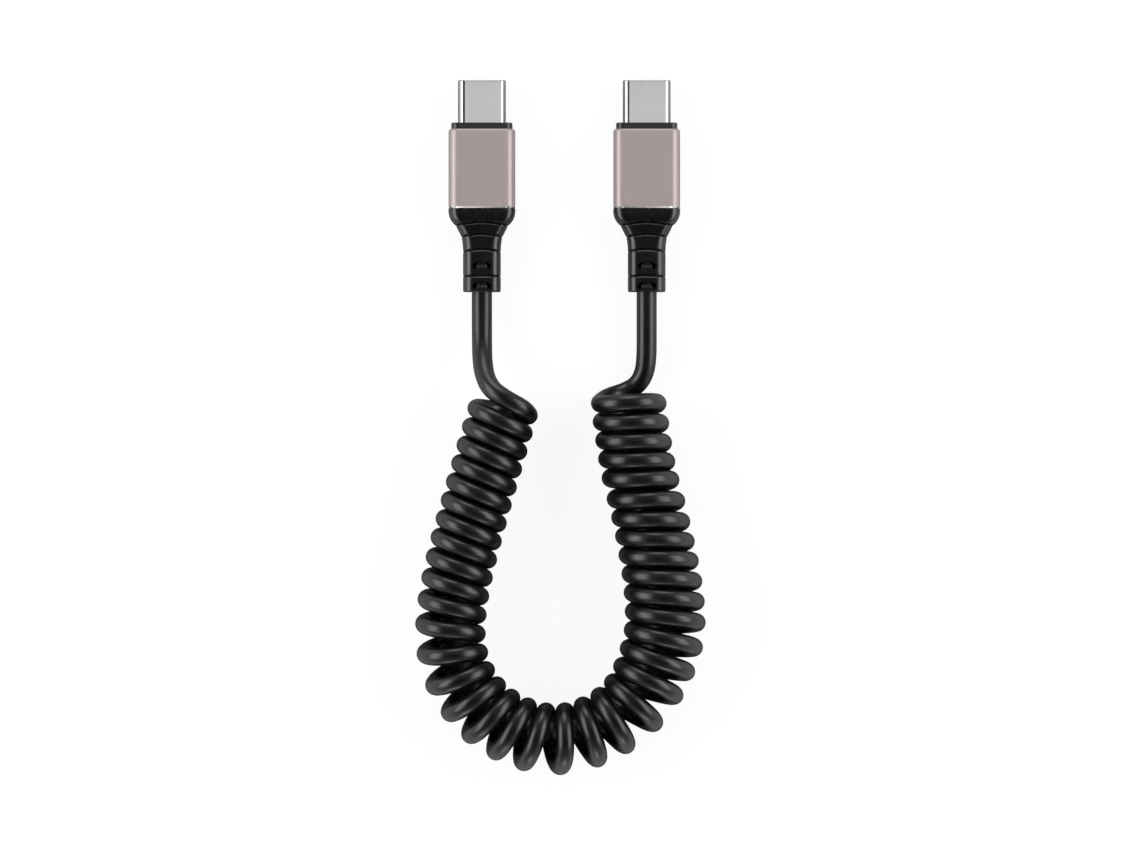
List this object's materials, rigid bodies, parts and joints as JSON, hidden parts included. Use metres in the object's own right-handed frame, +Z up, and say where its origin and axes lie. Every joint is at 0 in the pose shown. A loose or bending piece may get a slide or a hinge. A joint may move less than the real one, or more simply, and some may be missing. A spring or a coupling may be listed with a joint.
{
  "type": "coiled usb-c charging cable",
  "caption": "Curly charging cable lying in a U, with a flat reversible metal plug in an anodised sleeve and a grooved strain relief at each end.",
  "frame": {"origin": "on the surface that the plugs lie on, midway between the two plugs and midway along their length", "axes": "+X from plug a to plug b, +Y the way the plugs push in, +Z up from the surface"},
  "size_m": [0.05, 0.1203, 0.013],
  "materials": {
    "shell_steel": "satin",
    "insulator_plastic": "matte",
    "contact_gold": "polished",
    "spring_steel": "satin",
    "card_green": "gloss",
    "wire_red": "satin",
    "collar_black": "gloss",
    "sleeve_anodised": "satin",
    "relief_black": "satin",
    "cord_black": "satin"
  },
  "bodies": {
    "root": {"plug_shell_a": "shell_steel", "insulator_a": "insulator_plastic", "upper_contacts_a": "contact_gold", "lower_contacts_a": "contact_gold", "latch_a": "spring_steel", "ground_springs_a": "spring_steel", "paddle_card_a": "card_green", "conductors_a": "wire_red", "inner_body_a": "collar_black", "sleeve_a": "sleeve_anodised", "strain_relief_a": "relief_black", "plug_shell_b": "shell_steel", "insulator_b": "insulator_plastic", "upper_contacts_b": "contact_gold", "lower_contacts_b": "contact_gold", "latch_b": "spring_steel", "ground_springs_b": "spring_steel", "paddle_card_b": "card_green", "conductors_b": "wire_red", "inner_body_b": "collar_black", "sleeve_b": "sleeve_anodised", "strain_relief_b": "relief_black", "lead_a": "cord_black", "coil": "cord_black", "lead_b": "cord_black"}
  },
  "joints": []
}
